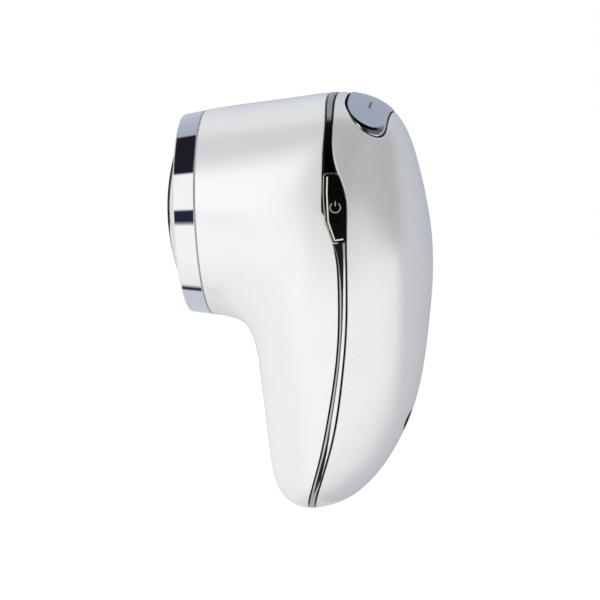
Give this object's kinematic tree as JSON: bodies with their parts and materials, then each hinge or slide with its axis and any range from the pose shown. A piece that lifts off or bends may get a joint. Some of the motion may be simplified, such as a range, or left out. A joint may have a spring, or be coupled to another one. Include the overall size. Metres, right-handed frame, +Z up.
{
  "type": "skincare device",
  "caption": "Handheld light skincare device: white pear-shaped grip with a round domed treatment head, flowing trim band, side power button and top level rocker.",
  "frame": {"origin": "middle of the hand grip, on the plane that halves the device from left to right", "axes": "+Z up along the grip, -X the way the treatment head faces, -Y the side with the power button"},
  "size_m": [0.079, 0.0662, 0.1246],
  "materials": {
    "pearl_white": "glossy pearl white moulding",
    "chrome": "polished plating",
    "smoke_chrome": "dark polished plating",
    "blue_chrome": "cool polished plating",
    "black_gloss": "high gloss black",
    "clear_lens": "clear polished dome",
    "seal_grey": "matte soft rubber",
    "reflector_white": "glossy white",
    "emitter_yellow": "phosphor coated",
    "board_green": "solder mask",
    "pad_grey": "soft heat pad",
    "sink_aluminium": "bare extrusion",
    "screw_steel": "zinc plated",
    "frame_grey": "fine moulded texture",
    "cell_can": "wrapped cell",
    "chip_black": "matte moulded package",
    "connector_cream": "natural nylon",
    "contact_brass": "plated contact"
  },
  "bodies": {
    "housing": {"front_shell": "pearl_white", "rear_shell": "pearl_white", "trim_band": "smoke_chrome", "head_ring": "chrome", "head_seal": "seal_grey", "lens": "clear_lens", "lens_gasket": "seal_grey", "head_carrier": "frame_grey", "reflector": "reflector_white", "leds": "emitter_yellow", "led_board": "board_green", "thermal_pad": "pad_grey", "heat_sink": "sink_aluminium", "head_screws": "screw_steel", "shell_screws": "screw_steel", "chassis": "frame_grey", "battery": "cell_can", "main_board": "board_green", "board_screws": "screw_steel", "controller_chips": "chip_black", "battery_connector": "connector_cream", "power_switch": "chip_black", "power_switch_board": "board_green", "indicator_window": "black_gloss", "indicator_board": "board_green", "indicator_leds": "emitter_yellow", "rocker_pin": "screw_steel", "rocker_board": "board_green", "rocker_switches": "chip_black", "charge_socket": "chip_black", "charge_pin": "contact_brass", "socket_tabs": "contact_brass"},
    "button": {"power_button": "black_gloss", "power_switch_plunger": "connector_cream"},
    "rocker": {"level_rocker": "blue_chrome"}
  },
  "joints": [
    {"name": "power_press", "type": "slide", "parent": "housing", "child": "button", "axis": [0, 1, 0], "range_m": [0, 0.0006], "stiffness_N_per_m": 800, "springref_m": -0.0004},
    {"name": "level_tilt", "type": "hinge", "parent": "housing", "child": "rocker", "pos_m": [0.00722, 0, 0.0787], "axis": [0.9336, 0, -0.3584], "range_deg": [-2, 2], "stiffness_Nm_per_rad": 0.6}
  ]
}
